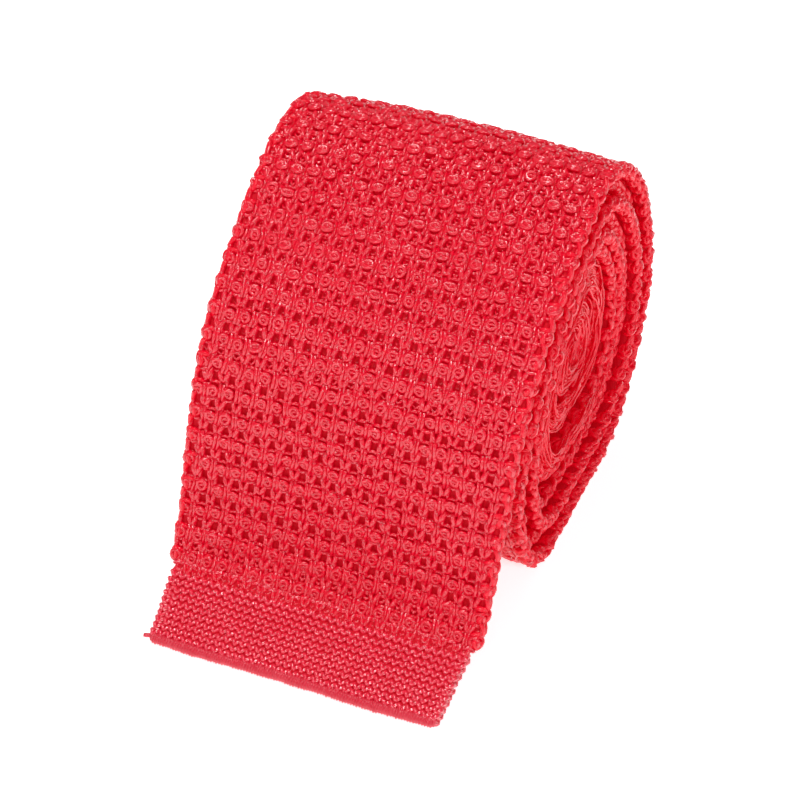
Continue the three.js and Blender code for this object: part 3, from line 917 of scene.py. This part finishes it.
def bandPieces(name, hemAt, joinAt, seed, sides):
    way = 1 if joinAt > hemAt else -1
    length = abs(joinAt - hemAt)
    steps = np.arange(band["clothFirst"], length, band["clothStep"])
    places = np.sort(hemAt + way * np.concatenate([[band["clothFrom"]], steps, [length]]))
    cloth = stripCloth(name + "Cloth", places, band["clothThickness"], band["clothInset"], shadedInsideYarn)
    pressFlat(cloth)
    made = []
    rng = np.random.default_rng(seed)
    courses = hemAt + way * np.arange(band["firstCourse"], length - band["lastCourse"], band["course"])
    share = np.linspace(-1, 1, band["veesAcross"])
    for side in (1, -1):
        u = (widthAt(courses)[:, None] / 2 - band["veeInset"]) * share[None, :]
        s = courses[:, None] + rng.normal(0, band["wander"], u.shape)
        s = s + band["wave"] * waveAlong(courses[:, None] * 2, u * 2)
        size = widthAt(courses)[:, None] / tie["frontEndWidth"]
        uMoved = u + rng.normal(0, band["sway"], u.shape)
        height = band["veeHeight"] + rng.normal(0, band["sway"], u.shape)
        made.append(knit(f"{name}V{side + 1}", jerseyVee(sides), s, uMoved, height, sheenBandYarn, seed + side,
                         turnSpread=0.06, sizeSpread=0.06, across=size, side=side))
        arcs = np.array([joinAt + way * band["bindPast"]])
        u = (widthAt(arcs)[:, None] / 2 - band["bindInset"]) * share[None, :]
        s = arcs[:, None] + rng.normal(0, band["bindWander"], u.shape)
        made.append(knit(f"{name}A{side + 1}", bindArc(), s, u, band["bindHeight"], sheenBandYarn, seed + 5 + side,
                         turnSpread=0.15, sizeSpread=0.1, across=size[0], side=side))
    for side in (1, -1):  # the turned selvedge of the band
        rows = np.arange(band["selvedgeFrom"], length - band["selvedgeTo"], band["selvedgeStep"])
        rows = hemAt + way * rows
        loop = edgeLoop(yarnRadius=0.38, sides=5, tall=0.62, lean=0.2, side=side)
        u = side * (widthAt(rows) / 2 - band["selvedgeInset"])
        made.append(knit(f"{name}E{side + 1}", loop, rows, u, 0.0, sheenBandYarn, seed + 9 + side,
                         turnSpread=0.1, sizeSpread=0.08))
    return cloth, pressFlat(joined(name + "Stitches", made, sheenBandYarn))


# the rolled edge: a soft tube with fine ridges running round it
hem = {
    "ridges": 104, "samples": 4, "around": 16, "ridgeHeight": 0.3, "alongRadius": 0.78, "upRadius": 0.82,
    "middle": 1.05, "wander": 0.12, "endRun": 1.0, "endLeast": 0.12, "uvStep": 0.3,
}


def rolledHem(name, hemAt, way, seed):
    rng = np.random.default_rng(seed)
    ridges, samples, around = hem["ridges"], hem["samples"], hem["around"]
    half = float(widthAt(np.array([hemAt + way * 1.0]))[0]) / 2
    u = np.linspace(-half, half, ridges * samples + 1)
    angle = np.linspace(0, 2 * math.pi, around, endpoint=False)
    ridgeSize = rng.uniform(0.6, 1.2, ridges + 1)
    slope = rng.uniform(-0.4, 0.4, ridges + 1)
    rows, uvs, faces = [], [], []
    for i, x in enumerate(u):
        place = i / samples
        k = int(place) % (ridges + 1)
        ridge = hem["ridgeHeight"] * ridgeSize[k] * (0.5 - 0.5 * math.cos(2 * math.pi * (place - int(place))))
        toEnd = min(1, min(x + half, half - x) / hem["endRun"])
        endRound = max(math.sqrt(max(0.0, 1 - (1 - toEnd) ** 2)), hem["endLeast"])
        swell = 1 + 0.05 * math.sin(x * 0.35 + seed) + 0.03 * math.sin(x * 0.9)
        radiusS = (hem["alongRadius"] * swell + ridge) * endRound
        radiusH = (hem["upRadius"] * swell + ridge) * endRound
        middle = hem["middle"] + hem["wander"] * math.sin(x * 0.21 + seed)
        s = hemAt + way * middle + way * radiusS * np.cos(angle)
        rows.append(onCloth(s, x + hem["wander"] * slope[k] * np.sin(angle), radiusH * np.sin(angle)))
    for i in range(len(rows) - 1):
        for j in range(around):
            k = (j + 1) % around
            faces.append((i * around + j, i * around + k, (i + 1) * around + k, (i + 1) * around + j))
            low, high = j * hem["uvStep"], (j + 1) * hem["uvStep"]
            here, there = i / samples, (i + 1) / samples
            uvs += [(low, here), (high, here), (high, there), (low, there)]
    faces.append(tuple(range(around)))
    faces.append(tuple((len(rows) - 1) * around + j for j in range(around)))
    uvs += [(0, 0)] * (2 * around)
    obj = newMesh(name, np.concatenate(rows), faces, uvs)
    obj.data.materials.append(hemYarn)
    fixOutward(obj)
    return pressFlat(obj)


frontBandCloth, frontBandStitches = bandPieces("frontBand", 0.0, tie["frontBandLength"], 51, 5)
backBandCloth, backBandStitches = bandPieces("backBand", tieLength, tieLength - tie["backBandLength"], 61, 4)
frontHem = rolledHem("frontHem", 0.0, 1, 2)

# a short end of yarn at the hem's left corner
tail = {
    "along": [1.3, 1.25, 1.1, 0.9], "fromEdge": [0.8, -0.1, -0.7, -1.2], "height": [0.0, 0.1, 0.0, 0.1],
    "radius": [0.44, 0.42, 0.4, 0.34],
}
hemLeft = -float(widthAt(np.array([0.5]))[0]) / 2
tailPath = onCloth(tail["along"], [hemLeft + inward for inward in tail["fromEdge"]], tail["height"])
yarnTail = fixOutward(newMesh("yarnTail", *tubeParts(tailPath, tail["radius"], 8)))
yarnTail.data.materials.append(hemYarn)

backHem = rolledHem("backHem", tieLength, -1, 4)
print("bands done")

# floor in millimetres, lights and camera in metres
studio = {
    "floorHalf": 3000, "floorAt": -0.02, "floorColour": (0.92, 0.92, 0.92, 1), "floorGlow": 0.74,
    "worldStrength": 0.25,
    "keyPower": 3.8, "keySize": 0.09, "keyAt": (-0.15, 0.1, 0.85),
    "frontPower": 1.6, "frontSize": 0.25, "frontAt": (-0.2, -0.75, 0.45),
    "fillPower": 1.9, "fillSize": 0.09, "fillAt": (0.6, -0.45, 0.55),
    "cameraAt": ((142.875 + moveX) * metre, (-290.84 + moveY) * metre, 334.279 * metre),
    "azimuth": 22.826, "elevation": 40.0, "lens": 121.5,
}
white = (1, 1, 1, 1)
corners = [(x * studio["floorHalf"], y * studio["floorHalf"], studio["floorAt"])
           for x, y in ((-1, -1), (1, -1), (1, 1), (-1, 1))]
floor = newMesh("floor", corners, [(0, 1, 2, 3)], smooth=False)
paleFloor = bpy.data.materials.new("paleFloor")
paleFloor.use_nodes = True
floorShader = paleFloor.node_tree.nodes["Principled BSDF"]
floorShader.inputs["Base Color"].default_value = studio["floorColour"]
floorShader.inputs["Roughness"].default_value = 0.9
floorShader.inputs["Emission Color"].default_value = white
floorShader.inputs["Emission Strength"].default_value = studio["floorGlow"]
floor.data.materials.append(paleFloor)

world = bpy.data.worlds.new("paleRoom")
world.use_nodes = True
world.node_tree.nodes["Background"].inputs["Color"].default_value = white
world.node_tree.nodes["Background"].inputs["Strength"].default_value = studio["worldStrength"]
bpy.context.scene.world = world

for kind in ("key", "front", "fill"):
    lamp = bpy.data.lights.new(kind + "Light", "AREA")
    lamp.energy, lamp.size = studio[kind + "Power"], studio[kind + "Size"]
    light = bpy.data.objects.new(kind + "Light", lamp)
    bpy.context.collection.objects.link(light)
    light.location = studio[kind + "At"]
    towardsRoll = Vector((0, 0, 0.03)) - Vector(studio[kind + "At"])
    light.rotation_euler = towardsRoll.to_track_quat("-Z", "Y").to_euler()

cameraData = bpy.data.cameras.new("photoCamera")
cameraData.lens, cameraData.sensor_width = studio["lens"], 36
cameraData.clip_start, cameraData.clip_end = 0.01, 20
camera = bpy.data.objects.new("photoCamera", cameraData)
bpy.context.collection.objects.link(camera)
azimuth, elevation = math.radians(studio["azimuth"]), math.radians(studio["elevation"])
level = math.cos(elevation)
back = Vector((math.sin(azimuth) * level, -math.cos(azimuth) * level, math.sin(elevation)))
right = Vector((0, 0, 1)).cross(back).normalized()
turned = Matrix((right, back.cross(right), back)).transposed().to_4x4()
camera.matrix_world = Matrix.Translation(studio["cameraAt"]) @ turned
bpy.context.scene.camera = camera
bpy.context.scene.view_settings.view_transform = "Standard"
print("studio done")

# every piece goes under the root body
for piece, slotName in (
    (bodyCloth, "open_knit"), (flapStitches, "open_knit"), (rollStitches, "open_knit"),
    (rollBackStitches, "open_knit"), (leftEdge, "open_knit"), (coreStrands, "open_knit"),
    (underStitches, "open_knit"), (backStitches, "open_knit"), (innerRings, "open_knit"),
    (facingRings, "open_knit"), (rightEdge, "open_knit"), (frontBandCloth, "plain_knit"),
    (frontBandStitches, "plain_knit"), (backBandCloth, "plain_knit"), (backBandStitches, "plain_knit"),
    (frontHem, "plain_knit"), (backHem, "plain_knit"), (yarnTail, "plain_knit"),
):
    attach(piece, "root")
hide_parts("body")
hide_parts("front_band")
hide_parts("back_band")
